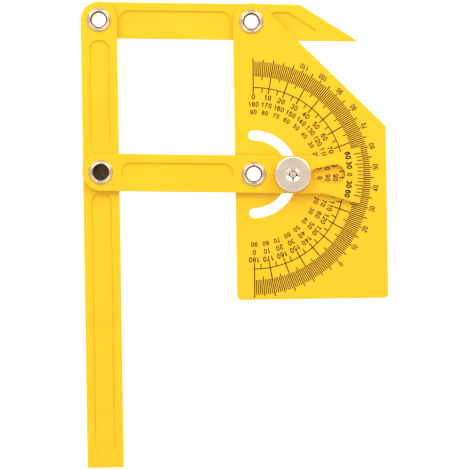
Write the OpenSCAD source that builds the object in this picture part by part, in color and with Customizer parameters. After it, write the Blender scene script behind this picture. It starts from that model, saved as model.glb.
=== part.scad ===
// Protractor square: four moulded links on eyelet pivots, with a dial plate,
// an index arm that reads the dial, and a thumb nut that locks the angle.
//
// The frame: the origin is on the axis of the dial pivot, on the back face of
// the plate. +Z comes out of the dial, +Y runs up the plate to the upper pivot
// and +X runs right, across the dial. The links lie in three layers. The top
// link is at the back, the plate and the long arm share the middle, and the
// index arm is in front.

/* [Linkage] */
// Distance between neighbouring pivots, the same on all four sides
link_pitch = 84; // [76:1:120]
// How far the index arm hangs clockwise from square to the plate at rest
rest_lean = 1.6; // [-20:0.1:20]
// Thickness of each moulded link
link_t = 3.2; // [2.6:0.1:4.5]
// Gap between one layer of links and the next
layer_gap = 0.3; // [0.2:0.05:0.6]
// Width of the long arm and of the top link
arm_w = 20; // [16:0.5:24]

/* [Protractor plate] */
// Dial pivot to the right edge
plate_right = 73; // [64:1:110]
// Dial pivot to the bottom edge
plate_below = 69.1; // [66:0.1:100]
// Dial pivot to the left edge, which is also the radius of the upper lobe
plate_left = 10.2; // [8:0.1:14]
// Radius of the two bottom corners
plate_corner_r = 2.4; // [0.8:0.2:8]
// Angle of the slanted edge above the X axis, from the right edge up to the upper lobe
plate_slant = 45; // [35:1:55]

/* [Lock slot] */
// Radius of the slot's middle line round the dial pivot
slot_r = 21.4; // [18:0.1:24]
// Width of the slot
slot_w = 5.5; // [5:0.1:6.5]
// Angle of the slot from the centre of one end to the centre of the other
slot_sweep = 180; // [120:1:200]

/* [Long arm] */
// Elbow pivot to the square end
long_arm_tail = 162.5; // [60:0.5:300]

/* [Top link] */
// Upper pivot to the sharp point, along the lower edge
top_link_point = 59.3; // [50:0.1:64]
// Upper pivot to where the slanted end leaves the upper edge
top_link_shoulder = 26.4; // [24:0.1:40]

/* [Index arm] */
// Width of the index arm
index_w = 20.6; // [16:0.2:26]
// Dial pivot to the curved end of the fan
fan_r = 60.3; // [56:0.1:64]
// Angle from the middle of the fan to each side
fan_half_angle = 15; // [12:0.5:20]
// Width of the bevel along the curved end
bevel_w = 4.3; // [2:0.1:5]
// Thickness that the bevel leaves at the curved end
bevel_edge_t = 1; // [0.6:0.1:2]
// Radius of the small end of the reading window
window_small_r = 3.5; // [2:0.1:4]
// Dial pivot to the centre of the window's small end
window_small_x = 35; // [34:0.1:37]
// Radius of the large end of the reading window
window_large_r = 5.3; // [4.2:0.1:6]
// Dial pivot to the centre of the window's large end
window_large_x = 44.7; // [43:0.1:48]

/* [Recesses] */
// Depth of the recesses, the same on both faces
recess_depth = 1; // [0.4:0.1:1.2]
// Width of the recesses
recess_w = 11.4; // [9:0.1:14]
// Corner radius of the recesses
recess_corner_r = 4.2; // [1:0.1:4.4]
// Pivot to the near end of a recess
recess_land = 11.4; // [8:0.1:16]
// Square end of the long arm to the end of its recess
tail_land = 6.6; // [3:0.1:20]
// Width of the rim between the top link's slanted end and its wedge recess
wedge_rim = 7.1; // [4:0.1:9]
// Corner radius of the wedge recess
wedge_corner_r = 2; // [0.5:0.1:3]

/* [Eyelets] */
// Radius of the open bore
eyelet_bore_r = 3.85; // [3:0.05:4.2]
// Thickness of the metal
eyelet_wall = 0.45; // [0.3:0.05:0.6]
// Radius of the front flange
flange_r = 6.6; // [6.2:0.1:7.6]
// Height of the front flange above the plastic
flange_h = 1; // [0.7:0.05:1.4]
// Radius of the roll at the back
roll_r = 6; // [5.7:0.1:6.1]
// Height of the roll at the back
roll_h = 0.8; // [0.6:0.05:1.2]
// Thickness of the setting washers
set_washer_t = 0.5; // [0.3:0.05:0.8]
// Thickness of the cap behind the elbow eyelet
cap_t = 1.3; // [1:0.1:2]
// Radial clearance of the barrels in the plastic
pivot_clearance = 0.08; // [0.02:0.01:0.1]
// Clearance under a face that turns or slides on another
face_clearance = 0.1; // [0.05:0.05:0.2]

/* [Lock] */
// Diameter of the screw thread
screw_d = 4; // [3:0.5:5]
// Radial clearance of the screw in the arm, the washer and the nut
screw_clearance = 0.1; // [0.05:0.05:0.1]
// Width across the square neck
neck_w = 4.9; // [4.5:0.1:4.9]
// Diameter of the screw head behind the plate
head_d = 9.6; // [8:0.1:12]
// Thickness of the screw head
head_t = 1.8; // [1:0.1:2.6]
// Diameter of the flat washer
lock_washer_d = 12; // [9:0.5:18]
// Thickness of the flat washer
lock_washer_t = 0.8; // [0.5:0.1:1.5]
// Diameter of the thumb nut over the knurls
nut_d = 20; // [14:0.5:24]
// Height of the thumb nut
nut_h = 6; // [4:0.5:12]
// Number of knurls round the thumb nut
knurl_count = 56; // [24:1:72]
// Depth of the knurls
knurl_depth = 0.45; // [0.2:0.05:0.8]
// Width of the chamfers on the thumb nut
nut_chamfer = 1; // [0.6:0.1:1.5]
// Diameter of the countersink in the thumb nut
countersink_d = 7.8; // [6:0.1:10]
// Thread end of the screw below the top of the nut
screw_end_below = 0.6; // [0.2:0.1:2]

/* [Hidden] */
$fn = 96;

// How far a cut runs past the faces that it opens
past = 1;

// Back faces of the three layers of links
mid_z = 0;
front_z = mid_z + link_t + layer_gap;
back_z = mid_z - link_t - layer_gap;

// The other three pivots at rest, in the plate's frame
upper_pivot = [0, link_pitch, 0];
elbow_pivot = [-link_pitch * cos(rest_lean), link_pitch * sin(rest_lean), 0];
outer_pivot = elbow_pivot + upper_pivot;

// Barrels of the eyelets and the holes that they run in
barrel_r = eyelet_bore_r + eyelet_wall;
pivot_hole_r = barrel_r + pivot_clearance;

// Faces that the eyelets grip, from the back layer to the front
back_grip_z = back_z - face_clearance - set_washer_t;
mid_grip_z = mid_z - set_washer_t;
mid_face_z = mid_z + link_t;
front_face_z = front_z + link_t;

// The cap behind the elbow eyelet holds the end of its barrel
cap_z = mid_z - face_clearance;
cap_socket_depth = cap_t / 2;

// The lock, from the head behind the plate to the top of the nut
head_z = mid_z - face_clearance;
neck_top_z = front_z - face_clearance;
lock_washer_z = front_face_z + face_clearance;
nut_z = lock_washer_z + lock_washer_t + face_clearance;
nut_top_z = nut_z + nut_h;
screw_hole_r = screw_d / 2 + screw_clearance;

// Colours of the plastic and the metal
plastic = [1.0, 0.8, 0.12];
nickel = [0.78, 0.77, 0.74];
steel = [0.7, 0.69, 0.66];

// Points of an arc from angle a0 to angle a1
function arc(centre, r, a0, a1, steps) =
    [for (i = [0:steps]) let (a = a0 + (a1 - a0) * i / steps) centre + r * [cos(a), sin(a)]];

// Angle of the direction from p to q
function heading(p, q) = atan2(q[1] - p[1], q[0] - p[0]);

// Brings a turn into the range from 0 to 360
function turn(a) = a - 360 * floor(a / 360);

// The corner at q of an outline that runs anticlockwise through p, q and s, rounded to radius r
function round_corner(p, q, s, r, steps = 8) =
    let (
        a_in = heading(p, q),
        bend = turn(heading(q, s) - a_in),
        back = r * tan(bend / 2),
        centre = q - back * [cos(a_in), sin(a_in)] + r * [-sin(a_in), cos(a_in)]
    )
    arc(centre, r, a_in - 90, a_in - 90 + bend, steps);

// A convex anticlockwise outline with every corner rounded to radius r
function round_outline(points, r) =
    let (n = len(points))
    [for (i = [0:n - 1]) each round_corner(points[(i + n - 1) % n], points[i], points[(i + 1) % n], r)];

function box_outline(x0, x1, y0, y1) = [[x0, y0], [x1, y0], [x1, y1], [x0, y1]];

// Turns its children with the two links that lean at rest
module leaning() rotate([0, 0, -rest_lean]) children();

// A hole through one layer, from its back face at height 0
module through_hole(r) translate([0, 0, -past]) cylinder(r = r, h = link_t + 2 * past);

// The same outline sunk into both faces of a link
module recess(outline, corner_r) {
    shape = round_outline(outline, corner_r);
    for (z = [-past, link_t - recess_depth])
        translate([0, 0, z]) linear_extrude(recess_depth + past) polygon(shape);
}

// A recess along X or Y between the lands of two pivots, or of a pivot and an end
module recess_x(x0, x1) recess(box_outline(x0, x1, -recess_w / 2, recess_w / 2), recess_corner_r);
module recess_y(y0, y1) recess(box_outline(-recess_w / 2, recess_w / 2, y0, y1), recess_corner_r);

// The slot that the lock screw slides along, an arc with round ends centred on +X
module arc_slot() {
    h = link_t + 2 * past;
    rotate([0, 0, -slot_sweep / 2]) rotate_extrude(angle = slot_sweep)
        translate([slot_r - slot_w / 2, -past]) square([slot_w, h]);
    for (side = [-1, 1])
        rotate([0, 0, side * slot_sweep / 2]) translate([slot_r, 0, 0]) through_hole(slot_w / 2);
}

// The plate: straight left, bottom and right edges, a slanted edge and a lobe round the upper pivot
module protractor_plate() {
    pivot = [0, link_pitch];
    lobe_top = 90 - plate_slant;
    lobe = arc(pivot, plate_left, lobe_top, 180, 60);
    slant_start = [plate_right, lobe[0][1] - (plate_right - lobe[0][0]) * tan(plate_slant)];
    bottom_left = [-plate_left, -plate_below];
    bottom_right = [plate_right, -plate_below];
    outline = concat(
        lobe,
        round_corner([-plate_left, link_pitch], bottom_left, bottom_right, plate_corner_r),
        round_corner(bottom_left, bottom_right, slant_start, plate_corner_r),
        [slant_start]
    );
    color(plastic) translate([0, 0, mid_z]) difference() {
        linear_extrude(link_t) polygon(outline);
        through_hole(pivot_hole_r);
        translate(upper_pivot) through_hole(pivot_hole_r);
        arc_slot();
    }
}

// The see-through window: a small end and a large end joined by their common tangents
module reading_window() {
    tilt = asin((window_large_r - window_small_r) / (window_large_x - window_small_x));
    small = arc([window_small_x, 0], window_small_r, 90 + tilt, 270 - tilt, 24);
    large = arc([window_large_x, 0], window_large_r, -90 - tilt, 90 + tilt, 36);
    translate([0, 0, -past]) linear_extrude(link_t + 2 * past) polygon(concat(small, large));
}

// The fan: a slice of a disc whose rim is bevelled on the front face
module fan() {
    bevel_start_r = fan_r - bevel_w;
    side_y = 2 * fan_r * tan(fan_half_angle);
    intersection() {
        rotate_extrude()
            polygon([[0, 0], [fan_r, 0], [fan_r, bevel_edge_t], [bevel_start_r, link_t], [0, link_t]]);
        linear_extrude(link_t) polygon([[0, 0], [2 * fan_r, -side_y], [2 * fan_r, side_y]]);
    }
}

// The index arm, from the elbow lobe through the dial pivot to the fan
module index_arm() {
    into_fan = 2;
    strip_end = index_w / 2 / tan(fan_half_angle) + into_fan;
    color(plastic) leaning() translate([0, 0, front_z]) difference() {
        union() {
            translate([-link_pitch, -index_w / 2, 0]) cube([link_pitch + strip_end, index_w, link_t]);
            translate([-link_pitch, 0, 0]) cylinder(r = index_w / 2, h = link_t);
            fan();
        }
        through_hole(pivot_hole_r);
        translate([-link_pitch, 0, 0]) through_hole(pivot_hole_r);
        translate([slot_r, 0, 0]) through_hole(screw_hole_r);
        reading_window();
        recess_x(recess_land - link_pitch, -recess_land);
    }
}

// The long arm stays parallel to the plate: a lobe at the outer pivot and a square lower end
module long_arm() {
    color(plastic) translate([0, 0, mid_z]) translate(elbow_pivot) difference() {
        union() {
            translate([-arm_w / 2, -long_arm_tail, 0]) cube([arm_w, long_arm_tail + link_pitch, link_t]);
            translate(upper_pivot) cylinder(r = arm_w / 2, h = link_t);
        }
        through_hole(pivot_hole_r);
        translate(upper_pivot) through_hole(pivot_hole_r);
        recess_y(recess_land, link_pitch - recess_land);
        recess_y(tail_land - long_arm_tail, -recess_land);
    }
}

// The wedge recess in the top link's pointed end keeps a rim along the slanted edge
module wedge_recess() {
    y = recess_w / 2;
    run = top_link_point - top_link_shoulder;
    slope = run / arm_w;
    inset = wedge_rim * sqrt(1 + slope * slope);
    function slant_x(y) = top_link_shoulder + (arm_w / 2 - y) * slope - inset;
    recess([[recess_land, -y], [slant_x(-y), -y], [slant_x(y), y], [recess_land, y]], wedge_corner_r);
}

// The top link, from the lobe at the outer pivot past the upper pivot to the point
module top_link() {
    y = arm_w / 2;
    color(plastic) translate([0, 0, back_z]) translate(upper_pivot) leaning() difference() {
        union() {
            linear_extrude(link_t)
                polygon([[-link_pitch, -y], [top_link_point, -y], [top_link_shoulder, y], [-link_pitch, y]]);
            translate([-link_pitch, 0, 0]) cylinder(r = y, h = link_t);
        }
        through_hole(pivot_hole_r);
        translate([-link_pitch, 0, 0]) through_hole(pivot_hole_r);
        recess_x(recess_land - link_pitch, -recess_land);
        wedge_recess();
    }
}

// Half an oval bead on the radii from r_in to r_out, height h above z, or below it when h is negative
function bead(r_in, r_out, z, h, steps = 12) =
    [for (i = [0:steps]) let (a = 180 * i / steps)
        [(r_in + r_out) / 2 + (r_out - r_in) / 2 * cos(a), z + h * sin(a)]];

// An eyelet that grips from low_z to high_z: a barrel with a rolled flange in front and a roll behind
module eyelet(low_z, high_z) {
    front = bead(eyelet_bore_r, flange_r, high_z, flange_h);
    roll = bead(eyelet_bore_r, roll_r, low_z, -roll_h);
    behind = [for (i = [len(roll) - 1:-1:0]) roll[i]];
    color(nickel) rotate_extrude()
        polygon(concat(front, behind, [[barrel_r, low_z], [barrel_r, high_z]]));
}

// A setting washer under the roll of an eyelet, on the face at top_z
module setting_washer(top_z) {
    color(nickel) translate([0, 0, top_z - set_washer_t]) difference() {
        cylinder(r = flange_r, h = set_washer_t);
        translate([0, 0, -past]) cylinder(r = barrel_r + pivot_clearance, h = set_washer_t + 2 * past);
    }
}

module dial_eyelet() eyelet(mid_grip_z, front_face_z + face_clearance);
module dial_washer() setting_washer(mid_z);

module upper_eyelet() translate(upper_pivot) eyelet(back_grip_z, mid_face_z);
module upper_washer() translate(upper_pivot) setting_washer(back_z - face_clearance);

module outer_eyelet() translate(outer_pivot) eyelet(back_grip_z, mid_face_z);
module outer_washer() translate(outer_pivot) setting_washer(back_z - face_clearance);

// The elbow eyelet has no roll: its barrel ends in the socket of the cap
module elbow_eyelet() {
    end_z = cap_z - cap_socket_depth;
    front = bead(eyelet_bore_r, flange_r, front_face_z, flange_h);
    color(nickel) translate(elbow_pivot) rotate_extrude()
        polygon(concat(front, [[eyelet_bore_r, end_z], [barrel_r, end_z], [barrel_r, front_face_z]]));
}

// The cap: a low closed dome with a socket for the end of the barrel
module elbow_cap() {
    dome = [for (i = [0:8]) let (a = 90 * i / 8)
        [flange_r - cap_t + cap_t * sin(a), cap_z - cap_t * cos(a)]];
    color(nickel) translate(elbow_pivot) difference() {
        rotate_extrude() polygon(concat([[0, cap_z], [0, cap_z - cap_t]], dome));
        translate([0, 0, cap_z - cap_socket_depth])
            cylinder(r = barrel_r + pivot_clearance, h = cap_socket_depth + past);
    }
}

// Turns its children with the index arm, on the axis of the lock screw
module on_lock() leaning() translate([slot_r, 0, 0]) children();

// The lock screw: a low domed head, a square neck in the slot and a shank up through the nut
module lock_screw() {
    shank_r = screw_d / 2;
    end_chamfer = 0.4;
    end_z = nut_top_z - screw_end_below;
    head_r = head_d / 2;
    head_edge = head_t / 2;
    dome = [for (i = [0:8]) let (a = 90 * i / 8)
        [head_r * sin(a), head_z - head_edge - (head_t - head_edge) * cos(a)]];
    color(steel) on_lock() {
        rotate_extrude() polygon(concat(dome, [
            [head_r, head_z], [shank_r, head_z], [shank_r, end_z - end_chamfer],
            [shank_r - end_chamfer, end_z], [0, end_z]
        ]));
        translate([-neck_w / 2, -neck_w / 2, head_z - head_edge])
            cube([neck_w, neck_w, neck_top_z - head_z + head_edge]);
    }
}

module lock_washer() {
    color(steel) on_lock() translate([0, 0, lock_washer_z]) difference() {
        cylinder(d = lock_washer_d, h = lock_washer_t);
        translate([0, 0, -past]) cylinder(r = screw_hole_r, h = lock_washer_t + 2 * past);
    }
}

// The thumb nut: a chamfered disc with straight knurls, a plain bore and a countersink
module thumb_nut() {
    r = nut_d / 2;
    foot_chamfer = nut_chamfer / 2;
    sink_depth = countersink_d / 2 - screw_hole_r;
    // The chamfer cones run on past the tips of the knurls, so that they cut every tip
    beyond = 0.2;
    knurls = [for (i = [0:2 * knurl_count - 1]) let (a = 180 * i / knurl_count)
        (i % 2 == 0 ? r : r - knurl_depth) * [cos(a), sin(a)]];
    color(steel) on_lock() translate([0, 0, nut_z]) difference() {
        intersection() {
            linear_extrude(nut_h) polygon(knurls);
            rotate_extrude() polygon([
                [0, 0], [r - foot_chamfer, 0], [r + beyond, foot_chamfer + beyond],
                [r + beyond, nut_h - nut_chamfer - beyond], [r - nut_chamfer, nut_h], [0, nut_h]
            ]);
        }
        translate([0, 0, -past]) cylinder(r = screw_hole_r, h = nut_h + 2 * past);
        translate([0, 0, nut_h - sink_depth])
            cylinder(r1 = screw_hole_r, r2 = screw_hole_r + sink_depth + past, h = sink_depth + past);
    }
}

protractor_plate();
index_arm();
long_arm();
top_link();
dial_eyelet();
dial_washer();
upper_eyelet();
upper_washer();
outer_eyelet();
outer_washer();
elbow_eyelet();
elbow_cap();
lock_screw();
lock_washer();
thumb_nut();
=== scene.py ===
# %% [markdown]
# # A protractor square with a printed dial
# The object is a plastic square for setting and copying angles. Four moulded links are
# joined by four eyelets into a parallelogram. A dial is printed on the plate, and an index
# arm sweeps over it and is locked by a thumb nut.
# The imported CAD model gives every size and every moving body, so this notebook never
# measures anything by eye that the frame already knows. It replaces the plain solids with
# finely rounded mouldings, rolled sheet metal, turned steel and printed ink.

# %% Load the frame and keep its box
import math
import bpy
import numpy as np
from mathutils.geometry import delaunay_2d_cdt
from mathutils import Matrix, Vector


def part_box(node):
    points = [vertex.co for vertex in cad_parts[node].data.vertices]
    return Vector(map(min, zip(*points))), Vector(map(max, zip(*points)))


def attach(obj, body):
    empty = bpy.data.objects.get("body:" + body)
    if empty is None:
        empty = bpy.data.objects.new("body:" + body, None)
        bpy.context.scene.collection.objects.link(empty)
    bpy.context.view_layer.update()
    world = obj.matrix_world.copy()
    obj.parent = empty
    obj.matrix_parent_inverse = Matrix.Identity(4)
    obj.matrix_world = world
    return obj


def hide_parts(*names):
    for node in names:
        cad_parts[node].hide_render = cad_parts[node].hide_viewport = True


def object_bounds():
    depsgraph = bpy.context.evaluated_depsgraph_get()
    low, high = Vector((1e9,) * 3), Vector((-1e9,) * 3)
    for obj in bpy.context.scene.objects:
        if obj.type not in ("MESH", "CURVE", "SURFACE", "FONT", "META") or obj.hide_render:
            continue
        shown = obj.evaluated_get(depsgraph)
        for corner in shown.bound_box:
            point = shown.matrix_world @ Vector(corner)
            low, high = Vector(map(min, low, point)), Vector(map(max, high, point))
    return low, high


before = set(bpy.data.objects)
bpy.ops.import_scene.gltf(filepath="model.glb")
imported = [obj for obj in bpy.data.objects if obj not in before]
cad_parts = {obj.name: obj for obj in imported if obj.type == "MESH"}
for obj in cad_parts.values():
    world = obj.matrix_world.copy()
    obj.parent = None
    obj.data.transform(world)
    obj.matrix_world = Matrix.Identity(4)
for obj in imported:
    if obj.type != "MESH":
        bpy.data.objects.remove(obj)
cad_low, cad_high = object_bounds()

print("CAD box in mm:", [round(v * 1000, 2) for v in (*cad_low, *cad_high)])

# %% [markdown]
# ## Where things are
# Every pivot of the real square is an eyelet, so the middle of an eyelet's box is the pivot.
# Working in millimetres and turning to metres once, when a mesh is made, keeps the numbers
# the same as on a workshop drawing.

# %% Pivots, layers and the lean of the arm
MM = 0.001


def middle(node):
    """The middle of a CAD node's box: half of lowest plus highest corner, in mm."""
    low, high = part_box(node)
    return (np.array(low) + np.array(high)) / 2 / MM


def heights(node):
    """The lowest and highest Z of a CAD node, in mm."""
    low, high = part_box(node)
    return low[2] / MM, high[2] / MM


dial_pivot = middle("dial_eyelet")[:2]
upper_pivot = middle("upper_eyelet")[:2]
elbow_pivot = middle("elbow_eyelet")[:2]
outer_pivot = middle("outer_eyelet")[:2]
lock_axis = middle("lock_washer")[:2]

LINK_PITCH = float(np.hypot(*(elbow_pivot - dial_pivot)))
# The arm points from the elbow to the dial pivot and on over the dial
ARM_ANGLE = math.degrees(math.atan2(*(dial_pivot - elbow_pivot)[::-1]))
print("pitch", round(LINK_PITCH, 3), "mm, arm leans", round(ARM_ANGLE, 3), "degrees")

# %% [markdown]
# ## Colours and nodes
# A colour is picked on a screen as an sRGB hex value, but a shader mixes light, which adds up
# only in linear values. One function does that change for every colour in the file.
# One more function adds any shader node, so each material below reads as a list of what is
# plugged into what.

# %% Helpers for materials


def linear(hex_colour):
    """sRGB hex to linear RGBA: below 0.04045 divide by 12.92, above it ((c + 0.055) / 1.055) ** 2.4."""
    srgb = np.array([int(hex_colour[i:i + 2], 16) for i in (0, 2, 4)]) / 255
    straight = srgb / 12.92
    curved = ((srgb + 0.055) / 1.055) ** 2.4
    return (*np.where(srgb <= 0.04045, straight, curved).tolist(), 1.0)


def per_mm(size):
    """Texture scale for a pattern whose features are that many millimetres across."""
    return 1 / (size * MM)


def start_material(name):
    """An empty node material, and the socket that gives its patterns their place on the object."""
    material = bpy.data.materials.new(name)
    material.use_nodes = True
    material.node_tree.nodes.clear()
    return material, add_node(material, "ShaderNodeTexCoord").outputs["Object"]


def add_node(material, kind, inputs=None, **settings):
    """Adds one node, sets its settings, and fills its inputs with values or with links from sockets."""
    node = material.node_tree.nodes.new(kind)
    for name, value in settings.items():
        setattr(node, name, value)
    for key, value in (inputs or {}).items():
        if isinstance(value, bpy.types.NodeSocket):
            material.node_tree.links.new(value, node.inputs[key])
        else:
            node.inputs[key].default_value = value
    return node


def end_material(material, shader):
    """Plugs the shader into the surface output."""
    add_node(material, "ShaderNodeOutputMaterial", {"Surface": shader.outputs[0]})
    print("material", material.name, "with", len(material.node_tree.nodes), "nodes")


# %% [markdown]
# ## Yellow plastic
# The links are injection-moulded ABS. The steel tool they come out of was spark-textured
# and lightly polished, so the face is satin: it shows a soft, broad highlight, never a
# mirror. The pigment is dense, but light still goes about a millimetre into it, which warms
# the shaded edges. Moulded faces also sink a few hundredths of a millimetre over
# their width as the plastic shrinks, and a tool that has been in a drawer has faint scuffs.
# All of these are layers of noise at real sizes, and none needs an image.

# %% Material: injection-moulded ABS
plastic, plastic_place = start_material("injection_moulded_abs_yellow")
# Pigment that flowed unevenly: clouds about 22 mm across, hardly a shade apart
pigment = add_node(plastic, "ShaderNodeTexNoise", {
    "Vector": plastic_place, "Scale": per_mm(22), "Detail": 2.0})
pigment_colour = add_node(plastic, "ShaderNodeMix", {
    0: pigment.outputs["Fac"], 6: linear("F2BE06"), 7: linear("F6C40B")}, data_type="RGBA")
# Scuffs: noise drawn out 40 times along one direction, thresholded to a few thin hairs
scuff_place = add_node(plastic, "ShaderNodeMapping", {
    "Vector": plastic_place, "Rotation": (0, 0, math.radians(28)),
    "Scale": (40, 1, 1)})
scuffs = add_node(plastic, "ShaderNodeTexNoise", {
    "Vector": scuff_place.outputs[0], "Scale": per_mm(9), "Detail": 3.0})
scuff_mask = add_node(plastic, "ShaderNodeMapRange", {
    "Value": scuffs.outputs["Fac"], "From Min": 0.62, "From Max": 0.72,
    "To Min": 0.0, "To Max": 1.0})
# Satin that varies a little from place to place, and is rougher in a scuff
satin = add_node(plastic, "ShaderNodeMapRange", {
    "Value": pigment.outputs["Fac"], "From Min": 0.3, "From Max": 0.7,
    "To Min": 0.36, "To Max": 0.43})
satin_scuffed = add_node(plastic, "ShaderNodeMath", {
    0: scuff_mask.outputs[0], 1: 0.10, 2: satin.outputs[0]}, operation="MULTIPLY_ADD")
# Shrinkage waves 14 mm across and 0.03 mm high
shrink = add_node(plastic, "ShaderNodeTexNoise", {
    "Vector": plastic_place, "Scale": per_mm(14), "Detail": 0.0})
shrink_bump = add_node(plastic, "ShaderNodeBump", {
    "Height": shrink.outputs["Fac"], "Strength": 1.0, "Distance": 0.03 * MM})
# The spark texture is about 0.05 mm, drawn at 0.3 mm so that it shows at all
spark = add_node(plastic, "ShaderNodeTexNoise", {
    "Vector": plastic_place, "Scale": per_mm(0.3), "Detail": 2.0})
spark_bump = add_node(plastic, "ShaderNodeBump", {
    "Height": spark.outputs["Fac"], "Strength": 0.35, "Distance": 0.02 * MM,
    "Normal": shrink_bump.outputs[0]})
plastic_shader = add_node(plastic, "ShaderNodeBsdfPrincipled", {
    "Base Color": pigment_colour.outputs[2], "Roughness": satin_scuffed.outputs[0],
    "IOR": 1.53, "Specular IOR Level": 0.38, "Subsurface Weight": 0.12,
    "Subsurface Radius": (1.0, 0.55, 0.08), "Subsurface Scale": 0.9 * MM,
    "Normal": spark_bump.outputs[0]})
end_material(plastic, plastic_shader)

# %% [markdown]
# ## Printing ink
# The scales are screen-printed with a solvent ink that bites into ABS. It is a brown so dark
# that it reads as black close up. The film is a few hundredths of a millimetre thick and
# dull, and it is browner where it is a little starved.

# %% Material: screen-printed ink
ink, ink_place = start_material("screen_printed_ink_dark_brown")
# Starved spots about 0.6 mm across
starved = add_node(ink, "ShaderNodeTexNoise", {
    "Vector": ink_place, "Scale": per_mm(0.6), "Detail": 3.0})
ink_ramp = add_node(ink, "ShaderNodeMapRange", {
    "Value": starved.outputs["Fac"], "From Min": 0.45, "From Max": 0.75})
ink_colour = add_node(ink, "ShaderNodeMix", {
    0: ink_ramp.outputs[0], 6: linear("3A1404"), 7: linear("57260A")}, data_type="RGBA")
ink_bump = add_node(ink, "ShaderNodeBump", {
    "Height": starved.outputs["Fac"], "Strength": 0.4, "Distance": 0.01 * MM})
ink_shader = add_node(ink, "ShaderNodeBsdfPrincipled", {
    "Base Color": ink_colour.outputs[2], "Roughness": 0.6, "IOR": 1.5,
    "Specular IOR Level": 0.25, "Normal": ink_bump.outputs[0]})
end_material(ink, ink_shader)

# %% [markdown]
# ## Nickel plate
# The eyelets are drawn brass sheet, barrel-plated with nickel. Nickel is a slightly warm
# white, warmer than chrome. Tumbling in the plating barrel leaves the roll bright but
# covered in fine dings, so highlights are crisp at the core with a soft halo.

# %% Material: nickel-plated brass
nickel, nickel_place = start_material("nickel_plated_brass")
# Barrel dings: cells about 0.7 mm across and a few microns deep
dings = add_node(nickel, "ShaderNodeTexVoronoi", {
    "Vector": nickel_place, "Scale": per_mm(0.7)}, feature="SMOOTH_F1")
ding_bump = add_node(nickel, "ShaderNodeBump", {
    "Height": dings.outputs["Distance"], "Strength": 0.5, "Distance": 0.012 * MM})
tarnish = add_node(nickel, "ShaderNodeTexNoise", {
    "Vector": nickel_place, "Scale": per_mm(2.2), "Detail": 3.0})
nickel_rough = add_node(nickel, "ShaderNodeMapRange", {
    "Value": tarnish.outputs["Fac"], "From Min": 0.35, "From Max": 0.7,
    "To Min": 0.24, "To Max": 0.34})
nickel_colour = add_node(nickel, "ShaderNodeMix", {
    0: tarnish.outputs["Fac"], 6: linear("DFCBA9"), 7: linear("D0BA99")}, data_type="RGBA")
nickel_shader = add_node(nickel, "ShaderNodeBsdfPrincipled", {
    "Base Color": nickel_colour.outputs[2], "Metallic": 1.0,
    "Roughness": nickel_rough.outputs[0], "Normal": ding_bump.outputs[0]})
end_material(nickel, nickel_shader)

# %% [markdown]
# ## The inside of a barrel
# The steep throat of an eyelet sees little of the lamps and lies in shade. Here that shade is
# painted as a dark brown metal, which reads as a dark ring round the hole. The same painted
# shade lines the blind bore at the elbow, the floor of the cap's socket and the punch marks of the nut.

# %% Material: painted shade as a dark brown metal
painted_shade_metal, shade_place = start_material("painted_shade_dark_metal")
# Mottle about 1.5 mm across in the painted shade
shade_mottle = add_node(painted_shade_metal, "ShaderNodeTexNoise", {
    "Vector": shade_place, "Scale": per_mm(1.5), "Detail": 3.0})
shade_colour = add_node(painted_shade_metal, "ShaderNodeMix", {
    0: shade_mottle.outputs["Fac"], 6: linear("5C4935"), 7: linear("7E684E")}, data_type="RGBA")
shade_bump = add_node(painted_shade_metal, "ShaderNodeBump", {
    "Height": shade_mottle.outputs["Fac"], "Strength": 0.5, "Distance": 0.02 * MM})
shade_shader = add_node(painted_shade_metal, "ShaderNodeBsdfPrincipled", {
    "Base Color": shade_colour.outputs[2], "Metallic": 0.6, "Roughness": 0.5,
    "Normal": shade_bump.outputs[0]})
end_material(painted_shade_metal, shade_shader)

# %% [markdown]
# ## Turned steel
# The thumb nut, its screw and the flat washer are turned steel with a thin clear zinc finish.
# A lathe tool leaves rings that all run round the axis. Rings spread a highlight across
# themselves, so a lamp shows as a bright wedge from the middle to the rim that swings as the
# nut turns. Cycles draws this as anisotropy, whose direction comes from the piece's UV map:
# U runs round the axis and V runs from the axis outwards.

# %% Material: turned steel with a UV map that runs round the axis
TURNED_MAP = "round_the_axis"
steel, steel_place = start_material("turned_steel_clear_zinc")
steel_map = add_node(steel, "ShaderNodeUVMap", uv_map=TURNED_MAP)
steel_axes = add_node(steel, "ShaderNodeSeparateXYZ", {"Vector": steel_map.outputs[0]})
# Tool rings: V is in metres, the feed was about 0.1 mm, drawn at 0.25 mm so that it shows
rings = add_node(steel, "ShaderNodeTexNoise", {
    "W": steel_axes.outputs["Y"], "Scale": per_mm(0.25), "Detail": 2.0}, noise_dimensions="1D")
ring_bump = add_node(steel, "ShaderNodeBump", {
    "Height": rings.outputs[0], "Strength": 0.5, "Distance": 0.01 * MM})
handled = add_node(steel, "ShaderNodeTexNoise", {
    "Vector": steel_place, "Scale": per_mm(4), "Detail": 4.0})
steel_rough = add_node(steel, "ShaderNodeMapRange", {
    "Value": handled.outputs["Fac"], "From Min": 0.3, "From Max": 0.7,
    "To Min": 0.20, "To Max": 0.28})
steel_colour = add_node(steel, "ShaderNodeMix", {
    0: handled.outputs["Fac"], 6: linear("FFF0DD"), 7: linear("F6E3CD")}, data_type="RGBA")
steel_round = add_node(steel, "ShaderNodeTangent", direction_type="UV_MAP", uv_map=TURNED_MAP)
steel_shader = add_node(steel, "ShaderNodeBsdfPrincipled", {
    "Base Color": steel_colour.outputs[2], "Metallic": 1.0, "Roughness": steel_rough.outputs[0],
    "Anisotropic": 0.65, "Tangent": steel_round.outputs[0], "Normal": ring_bump.outputs[0]})
end_material(steel, steel_shader)

# %% [markdown]
# ## Outlines of arcs
# Each link is a flat moulding, and on a drawing its outline is nothing but arcs joined by
# straight lines. So a loop here is a list of arcs: a point for every few degrees, each with
# the direction that faces out of the loop. The straight lines need no points of their own.

# %% Arcs, corners, circles and slots, in mm


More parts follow.
